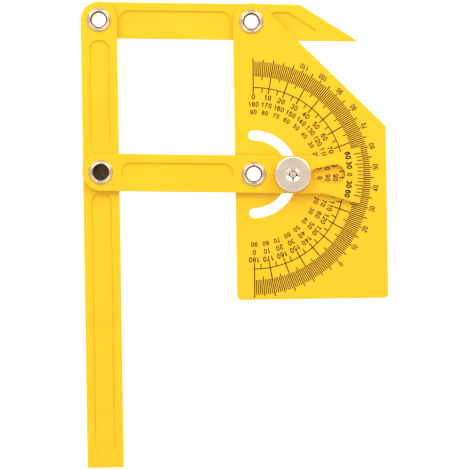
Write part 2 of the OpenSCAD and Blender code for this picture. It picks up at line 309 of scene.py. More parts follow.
def arc(centre, radius, start, stop, hollow=False):
    """Rows of x, y, nx, ny: centre + radius * (cos a, sin a) for a from start to stop degrees.

    The direction faces away from the centre, or towards it where the outline is hollow."""
    steps = max(3, math.ceil(abs(stop - start) / 4))
    a = np.radians(np.linspace(start, stop, steps + 1))
    out = np.column_stack([np.cos(a), np.sin(a)])
    return np.column_stack([np.asarray(centre) + radius * out, -out if hollow else out])


def corner(before, here, after, radius):
    """The arc that rounds the corner at here, convex or hollow, on a loop that runs anticlockwise.

    The arc starts radius * tan(turn / 2) before the corner, where it touches the edge."""
    before, here, after = (np.asarray(p, float) for p in (before, here, after))
    way_in = (here - before) / np.hypot(*(here - before))
    way_out = (after - here) / np.hypot(*(after - here))
    cross = way_in[0] * way_out[1] - way_in[1] * way_out[0]
    turn = math.degrees(math.atan2(cross, way_in @ way_out))
    side = 1 if turn > 0 else -1
    left = np.array([-way_in[1], way_in[0]])
    back = radius * math.tan(math.radians(abs(turn) / 2))
    centre = here - back * way_in + side * radius * left
    start = math.degrees(math.atan2(way_in[1], way_in[0])) - 90 * side
    return arc(centre, radius, start, start + turn, hollow=side < 0)


def polygon(points, radii):
    """A loop through the points with each corner rounded to its radius."""
    count = len(points)
    return np.vstack([
        corner(points[i - 1], points[i], points[(i + 1) % count], radii[i])
        for i in range(count)])


def circle(centre, radius, count=96):
    """A closed ring of points: centre + radius * (cos a, sin a)."""
    a = np.linspace(0, 2 * np.pi, count, endpoint=False)
    out = np.column_stack([np.cos(a), np.sin(a)])
    return np.column_stack([np.asarray(centre) + radius * out, out])


def rounded_box(x0, x1, y0, y1, radius):
    """A rectangle with four equal corner radii."""
    return polygon([(x0, y0), (x1, y0), (x1, y1), (x0, y1)], [radius] * 4)


# %% [markdown]
# ## How a moulding meets its edges
# A moulded edge is never sharp: the tool leaves a radius of a third of a millimetre, and that
# thin line of light is what makes a plastic part look real. Box bevels could give it, but on
# a part full of holes they pinch. Here a small profile is carried round every loop instead:
# a fillet from the top face, the wall with the faint seam where the halves of the mould meet,
# and a fillet to the back face. The recesses get a leaning wall and a soft floor corner.
# The flats in between are filled by triangulating the loops they lie between, and every
# vertex is given the exact direction that its surface faces, so that long thin triangles
# shade as one clean face.

# %% A shell that collects rows of vertices and fills the flats
FILLET = 0.35
HOLE_FILLET = 0.25
SEAM_PROUD = 0.03
SEAM_HALF = 0.08


def skin(grid):
    """Four-sided faces between neighbouring rows of vertex numbers, where each row is a ring."""
    ahead = np.roll(grid, -1, axis=1)
    return np.stack([grid[:-1], ahead[:-1], ahead[1:], grid[1:]], -1).reshape(-1, 4)


class Moulding:
    """Vertices in mm, the direction each faces, and faces, built up loop by loop."""

    def __init__(self, thickness, front=None):
        # The height of the front face at any x, y, which is flat unless the piece is bevelled
        self.front = front or (lambda x, y: np.full_like(x, thickness))
        self.spots, self.ways, self.faces = [], [], []
        self.count = 0

    def keep(self, spots, ways):
        """Adds a grid of vertices and returns their numbers in the same grid."""
        shape = spots.shape[:-1]
        flat = spots.reshape(-1, 3)
        self.spots.append(flat)
        length = np.linalg.norm(ways, axis=-1, keepdims=True)
        self.ways.append((ways / length).reshape(-1, 3))
        numbers = np.arange(len(flat)).reshape(shape) + self.count
        self.count += len(flat)
        return numbers

    def front_way(self, x, y):
        """The direction the front face looks: (-dz/dx, -dz/dy, 1), by central differences."""
        h = 0.01
        dx = (self.front(x + h, y) - self.front(x - h, y)) / (2 * h)
        dy = (self.front(x, y + h) - self.front(x, y - h)) / (2 * h)
        return np.stack([-dx, -dy, np.ones_like(dx)], -1)

    def wall(self, loop, hole, fillet=FILLET):
        """Carries the edge profile round a loop, through the whole thickness.

        Each row is moved into the plastic by an inset and lowered by a drop: round the fillet
        inset = f * (1 - sin t) and drop = f * (1 - cos t) while the surface turns by t.
        A hole's loop faces the plastic, so its directions are turned round."""
        xy = loop[:, :2]
        void = -loop[:, 2:] if hole else loop[:, 2:]
        turn = np.radians([0, 15, 30, 45, 60, 75, 90])
        inset = fillet * (1 - np.sin(turn))
        x, y = (xy[None] - inset[:, None, None] * void[None]).transpose(2, 0, 1)
        ground = self.front(x, y)
        drop = fillet * (1 - np.cos(turn))[:, None]
        level = np.where(turn[:, None] < 1.5, ground - drop, self.front(*xy.T)[None] - fillet)
        top_way = self.front_way(x, y)
        out = np.broadcast_to(np.column_stack([void, np.zeros(len(void))]), top_way.shape)
        lean = turn[:, None, None]
        top_ways = np.cos(lean) * top_way + np.sin(lean) * out
        top = np.stack([x, y, level], -1)
        # The mould's seam is a fine ridge at half height. A core pin leaves none in a hole
        proud = np.array([0, 0 if hole else SEAM_PROUD, 0])[:, None, None]
        seam_xy = xy[None] + proud * void[None]
        seam_up = SEAM_HALF * np.array([1, 0, -1])[:, None]
        seam_z = np.broadcast_to(self.front(*xy.T)[None] / 2 + seam_up, seam_xy.shape[:2])
        seam = np.concatenate([seam_xy, seam_z[..., None]], -1)
        seam_ways = out[:3] + np.array([0.25, 0, -0.25])[:, None, None] * np.array([0, 0, 1.0])
        bottom_xy = np.stack([x, y], -1)[::-1]
        bottom_z = np.broadcast_to(drop[::-1], bottom_xy.shape[:2])
        bottom = np.concatenate([bottom_xy, bottom_z[..., None]], -1)
        bottom_ways = (np.cos(lean) * np.array([0, 0, -1.0]) + np.sin(lean) * out)[::-1]
        grid = self.keep(np.concatenate([top, seam, bottom]),
                         np.concatenate([top_ways, seam_ways, bottom_ways]))
        self.faces += skin(grid).tolist()
        return grid[0], grid[-1]

    def step(self, loop, level, depth, up, fillet=0.4, floor_fillet=0.5, lean=12.0):
        """Sinks a loop by depth below a face at level: a fillet, a leaning wall and a floor corner.

        The wall moves inwards by depth * tan(lean). up is 1 on the front and -1 on the back.
        Returns the rim's and the floor's vertices."""
        rim = min(fillet, depth * 0.45)
        foot = min(floor_fillet, depth * 0.5)
        slope = math.tan(math.radians(lean))
        turn = np.radians([0, 22, 45, 68, 90])
        reach = np.concatenate([
            rim * (1 - np.sin(turn)),
            -slope * (depth - foot) - foot * (1 - np.sin(turn[::-1]))])
        sink = np.concatenate([
            rim * (1 - np.cos(turn)), depth - foot * (1 - np.cos(turn[::-1]))])
        turns = np.concatenate([turn, turn[::-1]])[:, None, None]
        spots = np.empty((len(reach), len(loop), 3))
        spots[..., :2] = loop[None, :, :2] + reach[:, None, None] * loop[None, :, 2:]
        spots[..., 2] = (level - up * sink)[:, None]
        inwards = np.column_stack([-loop[:, 2:], np.zeros(len(loop))])
        ways = np.cos(turns) * np.array([0, 0, float(up)]) + np.sin(turns) * inwards
        grid = self.keep(spots, ways)
        self.faces += skin(grid).tolist()
        return grid[0], grid[-1]

    def fill(self, edge, gaps=(), creases=()):
        """Triangulates the flat inside a loop of vertex numbers and outside the gaps in it.

        creases are chains of vertex numbers that the triangles must follow."""
        numbers = np.unique(np.concatenate([edge, *gaps, *creases]))
        spots = np.concatenate(self.spots)
        where = dict(zip(numbers.tolist(), range(len(numbers))))
        lines = []
        for ring in (edge, *gaps):
            lines += [(where[a], where[b]) for a, b in zip(ring.tolist(), np.roll(ring, -1).tolist())]
        for chain in creases:
            lines += [(where[a], where[b]) for a, b in zip(chain[:-1].tolist(), chain[1:].tolist())]
        flat = spots[numbers, :2]
        _, _, triangles, source, _, _ = delaunay_2d_cdt(flat.tolist(), lines, [], 0, 1e-7, True)
        triangles = np.array(triangles)
        back_to = numbers[np.array([s[0] for s in source])]
        triangles = back_to[triangles]
        heart = spots[triangles, :2].mean(1)
        keep = inside(heart, spots[edge, :2])
        for gap in gaps:
            keep &= ~inside(heart, spots[gap, :2])
        self.faces += triangles[keep].tolist()


def inside(points, ring):
    """Whether each point is in a ring: a ray to the right crosses the ring an odd number of times."""
    a, b = ring, np.roll(ring, -1, axis=0)
    x, y = points[:, None, 0], points[:, None, 1]
    spans = (a[None, :, 1] > y) != (b[None, :, 1] > y)
    rise = np.where(b[:, 1] == a[:, 1], 1, b[:, 1] - a[:, 1])
    cross = a[None, :, 0] + (y - a[None, :, 1]) * (b[:, 0] - a[:, 0])[None] / rise[None]
    return (spans & (x < cross)).sum(1) % 2 == 1


# %% [markdown]
# ## From arrays to pieces
# A mesh needs its vertices, its faces, and normals that point outwards, because a face that is
# wound the wrong way shades as if lit from inside. The finished mesh becomes an object at the
# origin that rides on one moving body, so it follows every joint without being told how.

# %% Turn arrays into a finished object


def fill_mesh(mesh, spots, faces, smooth=True):
    """Puts vertices in mm and faces into a mesh, in place of what it held."""
    mesh.clear_geometry()
    mesh.from_pydata((np.asarray(spots) * MM).tolist(), [], faces)
    mesh.polygons.foreach_set("use_smooth", np.full(len(faces), smooth))
    mesh.update()


def plain_mesh(name, spots, faces, smooth=True):
    """A new mesh from vertices in mm and faces."""
    mesh = bpy.data.meshes.new(name)
    fill_mesh(mesh, spots, faces, smooth)
    return mesh


def face_rows(mesh, what):
    """The normal or the centre of each face, one row a face, in metres."""
    rows = np.empty(len(mesh.polygons) * 3)
    mesh.polygons.foreach_get(what, rows)
    return rows.reshape(-1, 3)


def link_mesh(name, moulding, origin, angle, lift):
    """The mesh of a moulding in its place, with smooth shading that follows the moulding's ways.

    Each face is wound so that the right-hand rule agrees with the directions of its corners."""
    spots = turned(np.concatenate(moulding.spots), angle) + np.array([*origin, lift])
    ways = turned(np.concatenate(moulding.ways), angle)
    faces = moulding.faces
    mesh = plain_mesh(name, spots, faces)
    total = sum(ways[[f[k % len(f)] for f in faces]] for k in range(4))
    wrong = (face_rows(mesh, "normal") * total).sum(1) < 0
    faces = [f[::-1] if w else f for f, w in zip(faces, wrong.tolist())]
    fill_mesh(mesh, spots, faces)
    mesh.normals_split_custom_set_from_vertices(ways.tolist())
    return mesh


def turned(rows, angle):
    """Rows of x, y, z turned by angle degrees about Z: x cos a - y sin a, x sin a + y cos a, z."""
    a = math.radians(angle)
    return rows @ np.array([[math.cos(a), math.sin(a), 0], [-math.sin(a), math.cos(a), 0], [0, 0, 1]])


def show(name, mesh, material, body, nodes=()):
    """Puts the mesh in the scene at the origin, riding on its body and standing for its CAD nodes."""
    mesh.materials.append(material)
    piece = bpy.data.objects.new(name, mesh)
    bpy.context.scene.collection.objects.link(piece)
    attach(piece, body)
    if nodes:
        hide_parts(*nodes)
    print(name, "has", len(mesh.polygons), "faces")
    return piece


# %% [markdown]
# ## The faces of a link
# Every link has the same make-up: an outline, holes right through it, and the same recesses
# sunk into the front and the back so that the wall cools evenly. In the floor of a recess
# the mould's ejector pins leave a faint round dent.

# %% Assemble a link from its loops
DENT_DEPTH = 0.09
PIN_R = 2.2


def build_link(thickness, outline, holes, recesses=(), marks=(), front=None, crease=None):
    """Walls round every loop, recesses in both faces, dents in their floors, then the flats."""
    link = Moulding(thickness, front)
    outer_top, outer_back = link.wall(outline, hole=False)
    rims = [link.wall(h, hole=True, fillet=HOLE_FILLET) for h in holes]
    top_gaps, back_gaps = [r[0] for r in rims], [r[1] for r in rims]
    for up, level, gaps in ((1, thickness, top_gaps), (-1, 0.0, back_gaps)):
        for loop, depth in recesses:
            rim, floor = link.step(loop, level, depth, up)
            gaps.append(rim)
            dents = []
            for mark in marks:
                if up > 0 and inside(mark[:1, :2], loop[:, :2])[0]:
                    lip, base = link.step(mark, level - depth, DENT_DEPTH, up, 0.05, 0.05, 30)
                    dents.append(lip)
                    link.fill(base)
            link.fill(floor, dents)
    link.fill(outer_top, top_gaps, crease(link, outer_top) if crease else ())
    link.fill(outer_back, back_gaps)
    return link


def pin_marks(points):
    """The round dents of ejector pins at the given points."""
    return [circle(point, PIN_R, 48) for point in points]


# %% [markdown]
# ## The protractor plate
# The plate carries the dial. Its left, bottom and right edges are straight and ready to be
# laid against work. The slanted edge runs up to a lobe round the upper pivot. An arc slot
# lets the lock screw follow the index arm.

# %% Build the plate
LINK_T = heights("protractor_plate")[1] - heights("protractor_plate")[0]
PIVOT_HOLE_R = 4.38
LOBE_R = 10.2
PLATE_LEFT = -LOBE_R
PLATE_RIGHT = 73.0
PLATE_BOTTOM = -69.1
FOOT_R = 2.4
SHOULDER_R = 0.6
SLOT_R = 21.4
SLOT_HALF = 2.75

lobe_touch = upper_pivot + LOBE_R * np.array([math.sqrt(0.5), math.sqrt(0.5)])
shoulder = (PLATE_RIGHT, lobe_touch[1] - (PLATE_RIGHT - lobe_touch[0]))
lobe_corner = (PLATE_LEFT, lobe_touch[1] + (lobe_touch[0] - PLATE_LEFT))
plate_outline = polygon(
    [(PLATE_LEFT, PLATE_BOTTOM), (PLATE_RIGHT, PLATE_BOTTOM), shoulder, lobe_corner],
    [FOOT_R, FOOT_R, SHOULDER_R, LOBE_R])
# The slot: a round end, the outer arc, a round end, and the inner arc, which is hollow
arc_slot = np.vstack([
    arc((0, -SLOT_R), SLOT_HALF, 90, 270)[:-1],
    arc((0, 0), SLOT_R + SLOT_HALF, -90, 90),
    arc((0, SLOT_R), SLOT_HALF, 90, 270)[1:-1],
    arc((0, 0), SLOT_R - SLOT_HALF, 90, -90, hollow=True)])
plate = build_link(LINK_T, plate_outline, [
    circle(dial_pivot, PIVOT_HOLE_R), circle(upper_pivot, PIVOT_HOLE_R), arc_slot])
plate_mesh = link_mesh("moulded_plate", plate, (0, 0), 0, heights("protractor_plate")[0])
show("moulded_plate", plate_mesh, plastic, "plate", ["protractor_plate"])

# %% [markdown]
# ## The long arm and the top link
# The long arm is the rule that is laid on the work, with a square end. The top link reaches
# past the upper pivot to a sharp point, and its recess there is a wedge that follows the
# slanted edge.

# %% Build the long arm
LAND = 11.4
RECESS_DEPTH = 1.0
RECESS_HALF = 5.4
RECESS_CORNER_R = 5.1
ARM_HALF = 10.0
# A hair less than half the width, so that a little of the end stays straight
ARM_END_R = 9.999
ARM_TAIL = 162.5
TAIL_LAND = 6.6

long_outline = polygon(
    [(-ARM_HALF, -ARM_TAIL), (ARM_HALF, -ARM_TAIL),
     (ARM_HALF, LINK_PITCH + ARM_HALF), (-ARM_HALF, LINK_PITCH + ARM_HALF)],
    [0.8, 0.8, ARM_END_R, ARM_END_R])
upper_recess = rounded_box(-RECESS_HALF, RECESS_HALF, LAND, LINK_PITCH - LAND, RECESS_CORNER_R)
tail_recess = rounded_box(-RECESS_HALF, RECESS_HALF, TAIL_LAND - ARM_TAIL, -LAND, RECESS_CORNER_R)
long_marks = pin_marks([(0, y) for y in (18.5, 65.5, -18.5, -84.0, -149.0)])
long_link = build_link(
    LINK_T, long_outline, [circle((0, 0), PIVOT_HOLE_R), circle((0, LINK_PITCH), PIVOT_HOLE_R)],
    [(upper_recess, RECESS_DEPTH), (tail_recess, RECESS_DEPTH)], long_marks)
long_mesh = link_mesh("moulded_long_arm", long_link, elbow_pivot, 0, heights("long_arm")[0])
show("moulded_long_arm", long_mesh, plastic, "straightedge", ["long_arm"])

# %% Build the top link
LINK_POINT = 59.3
LINK_SHOULDER = 26.4
WEDGE_RIM = 7.1

wedge_run = (LINK_POINT - LINK_SHOULDER) / (2 * ARM_HALF)
wedge_inset = WEDGE_RIM * math.hypot(1, wedge_run)


def slant_x(y):
    """X of the rim inside the slanted edge at y: shoulder + (half width - y) * run - inset."""
    return LINK_SHOULDER + (ARM_HALF - y) * wedge_run - wedge_inset


top_outline = polygon(
    [(-LINK_PITCH - ARM_HALF, -ARM_HALF), (LINK_POINT, -ARM_HALF),
     (LINK_SHOULDER, ARM_HALF), (-LINK_PITCH - ARM_HALF, ARM_HALF)],
    [ARM_END_R, 0.45, 0.8, ARM_END_R])
wedge = polygon(
    [(LAND, -RECESS_HALF), (slant_x(-RECESS_HALF), -RECESS_HALF),
     (slant_x(RECESS_HALF), RECESS_HALF), (LAND, RECESS_HALF)], [2.0, 0.95, 2.0, 2.0])
bar_recess = rounded_box(LAND - LINK_PITCH, -LAND, -RECESS_HALF, RECESS_HALF, RECESS_CORNER_R)
top_marks = pin_marks([(x, 0) for x in (18.5 - LINK_PITCH, -18.5, 17.0)])
top_link = build_link(
    LINK_T, top_outline, [circle((0, 0), PIVOT_HOLE_R), circle((-LINK_PITCH, 0), PIVOT_HOLE_R)],
    [(bar_recess, RECESS_DEPTH), (wedge, RECESS_DEPTH)], top_marks)
top_mesh = link_mesh("moulded_top_link", top_link, upper_pivot, ARM_ANGLE, heights("top_link")[0])
show("moulded_top_link", top_mesh, plastic, "link", ["top_link"])

# %% [markdown]
# ## The index arm
# The arm runs from the elbow over the dial to a fan. The fan's curved end is bevelled, so that
# the small scale printed on it comes down close to the dial and reads without parallax.
# The bevel is a height that depends only on the distance from the pivot. It starts with a
# short curve in place of a crease: a quarter of a millimetre each way, in which the slope
# grows evenly from nothing to its full value.

# %% Build the index arm
ARM_R = 10.3
WAIST_R = 4.0
FAN_R = 60.3
FAN_HALF_ANGLE = 15.0
BEVEL_START = 56.0
BEVEL_SLOPE = (LINK_T - 1.0) / (FAN_R - BEVEL_START)
BEND = 0.25


def bevel_front(x, y):
    """Height of the arm's front: full thickness less slope * (r - start), eased over the bend."""
    past = np.hypot(x, y) - (BEVEL_START - BEND)
    eased = BEVEL_SLOPE * past ** 2 / (4 * BEND)
    straight = BEVEL_SLOPE * (past - BEND)
    fall = np.where(past <= 0, 0, np.where(past < 2 * BEND, eased, straight))
    return LINK_T - np.where(x > 0, fall, 0)


def fan_side(sign, radii):
    """Points on a side of the fan at the given distances from the pivot, facing outwards."""
    a = math.radians(sign * FAN_HALF_ANGLE)
    out = sign * np.array([-math.sin(a), math.cos(a)])
    along = np.array([math.cos(a), math.sin(a)])
    return np.column_stack([np.outer(radii, along), np.tile(out, (len(radii), 1))])


bend_radii = BEVEL_START + BEND * np.array([-1.0, -0.5, 0.0, 0.5, 1.0])
CORNER_R = 0.7
corner_turn = math.degrees(math.asin(CORNER_R / (FAN_R - CORNER_R)))
rim_half = FAN_HALF_ANGLE - corner_turn


def on_rim(angle):
    """The centre of a rim corner's arc, one corner radius inside the rim."""
    a = math.radians(angle)
    return (FAN_R - CORNER_R) * np.array([math.cos(a), math.sin(a)])


waist = ARM_R / math.tan(math.radians(FAN_HALF_ANGLE))
fan_tip = FAN_R * np.array([
    math.cos(math.radians(FAN_HALF_ANGLE)), math.sin(math.radians(FAN_HALF_ANGLE))])
index_outline = np.vstack([
    corner((-LINK_PITCH, -ARM_R), (waist, -ARM_R), fan_tip * (1, -1), WAIST_R),
    fan_side(-1, bend_radii),
    arc(on_rim(-rim_half), CORNER_R, -90 - FAN_HALF_ANGLE, -rim_half)[:-1],
    arc((0, 0), FAN_R, -rim_half, rim_half),
    arc(on_rim(rim_half), CORNER_R, rim_half, 90 + FAN_HALF_ANGLE)[1:],
    fan_side(1, bend_radii[::-1]),
    corner(fan_tip, (waist, ARM_R), (-LINK_PITCH, ARM_R), WAIST_R),
    arc((-LINK_PITCH, 0), ARM_R, 90, 270)])


def bevel_creases(link, rim):
    """Arcs across the fan at each radius of the bend, from one side of the outline to the other."""
    spots = np.concatenate(link.spots)
    r = np.hypot(*spots[rim, :2].T)
    chains = []
    for radius in bend_radii:
        # The rim's points lie inside the outline by the fillet. Those behind the pivot don't count
        miss = np.abs(r - math.hypot(radius, FILLET)) + (spots[rim, 0] < 0) * 99
        ends = rim[np.argsort(miss)[:2]]
        ends = ends[np.argsort(spots[ends, 1])]
        low, high = np.arctan2(spots[ends, 1], spots[ends, 0])
        a = np.linspace(low, high, 40)[1:-1]
        x, y = radius * np.cos(a), radius * np.sin(a)
        middle_part = link.keep(np.stack([x, y, link.front(x, y)], -1), link.front_way(x, y))
        chains.append(np.concatenate([ends[:1], middle_part, ends[1:]]))
    return chains


SCREW_HOLE_R = 2.1
# The window: a small round end and a large one, joined by lines that touch both. Its large
# end sits half a millimetre above the arm's middle line
WINDOW_SMALL, WINDOW_SMALL_R = np.array([35.0, 0.1]), 3.5
WINDOW_LARGE, WINDOW_LARGE_R = np.array([44.7, 0.5]), 5.3
window_run = WINDOW_LARGE - WINDOW_SMALL
window_tilt = math.degrees(math.asin((WINDOW_LARGE_R - WINDOW_SMALL_R) / np.hypot(*window_run)))
window_way = math.degrees(math.atan2(window_run[1], window_run[0]))
reading_window = np.vstack([
    arc(WINDOW_SMALL, WINDOW_SMALL_R, window_way + 90 + window_tilt, window_way + 270 - window_tilt),
    arc(WINDOW_LARGE, WINDOW_LARGE_R, window_way - 90 - window_tilt, window_way + 90 + window_tilt)])
index_holes = [
    circle((0, 0), PIVOT_HOLE_R), circle((-LINK_PITCH, 0), PIVOT_HOLE_R),
    circle((SLOT_R, 0), SCREW_HOLE_R, 48), reading_window]
index_marks = pin_marks([(x, 0) for x in (18.5 - LINK_PITCH, -18.5)])
index_link = build_link(
    LINK_T, index_outline, index_holes, [(bar_recess, RECESS_DEPTH)], index_marks,
    bevel_front, bevel_creases)
INDEX_Z = heights("index_arm")[0]
index_mesh = link_mesh("moulded_index_arm", index_link, (0, 0), ARM_ANGLE, INDEX_Z)
show("moulded_index_arm", index_mesh, plastic, "index", ["index_arm"])

# %% [markdown]
# ## Turned and rolled pieces
# An eyelet, a nut and a screw are all surfaces of revolution. The profile is a row of points
# (distance from the axis, height), and the surface is radius * cos a, radius * sin a, height
# for a right round. The same grid gives the UV map: the angle one way, and the length along
# the profile the other way.

# %% Spin a profile


def spin(centre, profile, columns=128, radius_at=None):
    """Vertices (rows, columns, 3) of a profile turned about a vertical axis through centre.

    radius_at(radius, angle, height) may reshape the radius, as knurls do."""
    a = np.linspace(0, 2 * np.pi, columns, endpoint=False)[None]
    r, z = np.broadcast_to(profile.T[:, :, None], (2, len(profile), columns))
    if radius_at:
        r = radius_at(r, a, z)
    return np.stack([centre[0] + r * np.cos(a), centre[1] + r * np.sin(a), z], -1)


def spun_mesh(name, spots, loop, sharp=35.0):
    """A closed mesh from a spun grid, with a UV map (angle, distance along the profile) in metres.

    loop joins the last row to the first, as on a ring. Without it both ends close on the axis."""
    rows, columns = spots.shape[:2]
    numbers = np.arange(rows * columns).reshape(rows, columns)
    grid = np.vstack([numbers, numbers[:1]]) if loop else numbers
    faces = skin(grid).tolist()
    flat = spots.reshape(-1, 3)
    steps = np.linalg.norm(np.diff(flat[grid[:, 0]], axis=0), axis=-1)
    along = np.concatenate([[0], np.cumsum(steps)]) * MM
    u = np.linspace(0, 1, columns + 1)
    uv = np.empty((len(steps), columns, 4, 2))
    uv[..., [0, 3], 0] = u[:-1, None]
    uv[..., [1, 2], 0] = u[1:, None]
    uv[..., :2, 1] = along[:-1, None, None]
    uv[..., 2:, 1] = along[1:, None, None]
    uv = uv.reshape(-1, 2)
    if not loop:
        # Each end is closed by a fan of triangles to a vertex on the axis
        half = (u[:-1] + u[1:]) / 2
        for row, v, side, order in ((0, 0.0, -1, [0, 2, 1]), (-1, along[-1], 1, [0, 1, 2])):
            tip = spots[row].mean(0)
            reach = np.linalg.norm(spots[row, 0] - tip) * MM
            ring = numbers[row]
            fan = np.stack([ring, np.roll(ring, -1), np.full(columns, len(flat))], -1)
            fan_uv = np.empty((columns, 3, 2))
            fan_uv[..., 0] = np.stack([u[:-1], u[1:], half], -1)
            fan_uv[..., 1] = v, v, v + side * reach
            faces += fan[:, order].tolist()
            uv = np.concatenate([uv, fan_uv[:, order].reshape(-1, 2)])
            flat = np.vstack([flat, tip])
    mesh = plain_mesh(name, flat, faces)
    mesh.uv_layers.new(name=TURNED_MAP).data.foreach_set("uv", uv.ravel())
    if signed_volume(mesh) < 0:
        mesh.flip_normals()
    mesh.set_sharp_from_angle(angle=math.radians(sharp))
    return mesh


def signed_volume(mesh):
    """Six times the volume: the sum over triangles of a . (b x c), positive where faces point out."""
    mesh.calc_loop_triangles()
    corners = np.empty(len(mesh.loop_triangles) * 3, np.int32)
    mesh.loop_triangles.foreach_get("vertices", corners)
    co = np.empty(len(mesh.vertices) * 3)
    mesh.vertices.foreach_get("co", co)
    a, b, c = co.reshape(-1, 3)[corners.reshape(-1, 3)].transpose(1, 0, 2)
    return float((a * np.cross(b, c)).sum())


def curve_through(points, count):
    """Points evenly spaced along a smooth curve through the given ones (Catmull-Rom, in numpy).

    Between b and c: half of 2b + (c - a) t + (2a - 5b + 4c - d) t^2 + (3b - a - 3c + d) t^3."""
    p = np.asarray(points, float)
    p = np.vstack([2 * p[0] - p[1], p, 2 * p[-1] - p[-2]])
    t = np.linspace(0, 1, count, endpoint=False)[:, None]
    a, b, c, d = (p[i:len(p) - 3 + i, None] for i in range(4))
    part = (2 * b + (c - a) * t + (2 * a - 5 * b + 4 * c - d) * t ** 2
            + (3 * b - a - 3 * c + d) * t ** 3) / 2
    return np.vstack([part.reshape(-1, 2), p[-2]])


# %% [markdown]
# ## The eyelets
# An eyelet starts as a drawn tube with a flange. The setting die curls the flange into a bead
# that bites the plastic, and rolls the other end over a washer. Looking straight down, the
# bead shows as rings: the steep inside of the bore is dark, the two soft crests of the bead
# catch the lamps, and the shallow groove that the die leaves between them mirrors the dimmer
# ceiling. The bead is a curve through a few points, spun round. The tube narrows like a
# funnel for a millimetre and a half below the bead.

# %% Build the eyelets
BORE_R = 3.85
BARREL_R = 4.3
FLANGE_R = 6.6
FLANGE_H = 1.0
ROLL_R = 6.0
ROLL_H = 0.8
# Nearer to the axis than this and down to this depth, the bore is painted dark as shade
THROAT_R = 4.58
THROAT_DEPTH = 2.4
# The three open eyelets and their washers: which pivot, which body they ride on, and where
SETS = (("dial", "plate", dial_pivot), ("upper", "plate", upper_pivot),
        ("outer", "straightedge", outer_pivot))


def bead(outer_r, face, height):
    """From the plastic at the outer edge, over the crown, and down to the bore: radius and height.

    The lip curls in a little under itself at the edge, as rolled sheet does."""
    shape = [(BARREL_R + 0.02, 0.0), (outer_r - 0.16, 0.0), (outer_r - 0.03, 0.14),
             (outer_r, 0.32), (outer_r - 0.1, 0.6), (outer_r - 0.4, 0.86),
             (outer_r - 0.75, 0.88), (outer_r - 1.1, 0.8), (outer_r - 1.4, 0.9),
             (BORE_R + 1.05, 1.0), (BORE_R + 0.82, 0.9), (BORE_R + 0.66, 0.6),
             (BORE_R + 0.36, 0.0), (BORE_R + 0.16, -0.6), (BORE_R + 0.04, -1.1), (BORE_R, -1.5)]
    out = curve_through(shape, 5)
    return np.column_stack([out[:, 0], face + height * out[:, 1]])


def darken(piece, dark):
    """Gives the painted-shade metal to the faces for which dark is true."""
    piece.data.materials.append(painted_shade_metal)
    piece.data.polygons.foreach_set("material_index", dark.astype(np.int32))
    print(piece.name, "has", int(dark.sum()), "dark faces")


def in_throat(piece, centre, radius, above):
    """Whether each face is nearer to the axis than radius and higher than above, in mm."""
    middles = face_rows(piece.data, "center") / MM
    return (np.hypot(*(middles[:, :2] - centre).T) < radius) & (middles[:, 2] > above)


def show_spun(name, profile, pivot, body, node, loop=True):
    """Spins a profile about a pivot and shows it in nickel plate in place of its CAD node."""
    mesh = spun_mesh(name, spin(pivot, profile), loop)
    return show(name, mesh, nickel, body, [node])


for place, body, pivot in SETS:
    bottom, top = heights(f"{place}_eyelet")
    # The front bead, the bore, the back roll and the outside of the barrel make a closed ring
    front = bead(FLANGE_R, top - FLANGE_H, FLANGE_H)
    back = bead(ROLL_R, bottom + ROLL_H, -ROLL_H)[::-1]
    eyelet = show_spun(
        f"rolled_{place}_eyelet", np.vstack([front, back]), pivot, body, f"{place}_eyelet")
    # Inside the throat the bore's shade is painted as dark metal
    darken(eyelet, in_throat(eyelet, pivot, THROAT_R, top - THROAT_DEPTH))

# The elbow's eyelet has the same bead, but its barrel ends in the cap
elbow_low, elbow_high = heights("elbow_eyelet")
elbow_profile = np.vstack([
    bead(FLANGE_R, elbow_high - FLANGE_H, FLANGE_H),
    [(BORE_R, elbow_low + 0.1), (BORE_R + 0.1, elbow_low),
     (BARREL_R - 0.1, elbow_low), (BARREL_R, elbow_low + 0.1)]])
elbow = show_spun("rolled_elbow_eyelet", elbow_profile, elbow_pivot, "index", "elbow_eyelet")
# The elbow's blind bore is painted dark as shade
darken(elbow, in_throat(elbow, elbow_pivot, THROAT_R, elbow_low))

# %% [markdown]
# ## Washers and the cap
# Under each roll a small brass washer keeps the plastic from cracking. Three of them are
# plain stampings, and the cap that closes the elbow from behind is a low dome. Both are
# pressed from thin sheet, so a spun profile with small rounded edges does for both.

# %% Build the setting washers and the cap
WASHER_HOLE_R = 4.38
SOCKET_R = WASHER_HOLE_R
SOCKET_EDGE = 0.1


def washer_profile(hole_r, outer_r, low, high, edge=0.12):
    """A flat ring: the outer edges are broken by two small chamfers and the inner ones by one."""
    return np.array([
        (hole_r, high - edge), (hole_r + edge, high), (outer_r - edge, high),
        (outer_r - edge * 0.3, high - edge * 0.3), (outer_r, high - edge), (outer_r, low + edge),
        (outer_r - edge * 0.3, low + edge * 0.3), (outer_r - edge, low),
        (hole_r + edge, low), (hole_r, low + edge)])


for place, body, pivot in SETS:
    ring = washer_profile(WASHER_HOLE_R, FLANGE_R, *heights(f"{place}_washer"))
    show_spun(f"stamped_{place}_washer", ring, pivot, body, f"{place}_washer")

cap_low, cap_high = heights("elbow_cap")
cap_t = cap_high - cap_low
dome_turn = np.radians(np.linspace(0, 90, 12))
cap_dome = np.column_stack([
    FLANGE_R - cap_t + cap_t * np.sin(dome_turn), cap_high - cap_t * np.cos(dome_turn)])
cap_profile = np.vstack([
    [(0.4, cap_low), (2.6, cap_low)], cap_dome,
    [(FLANGE_R - SOCKET_EDGE, cap_high), (SOCKET_R + 0.12, cap_high),
     (SOCKET_R, cap_high - SOCKET_EDGE), (SOCKET_R, cap_high - cap_t / 2),
     (2.0, cap_high - cap_t / 2), (0.4, cap_high - cap_t / 2)]])
cap = show_spun("domed_elbow_cap", cap_profile, elbow_pivot, "index", "elbow_cap", loop=False)
# Only the floor of the socket is painted dark as shade, not the dome behind it
darken(cap, in_throat(cap, elbow_pivot, SOCKET_R + 0.02, cap_high - cap_t * 0.6))
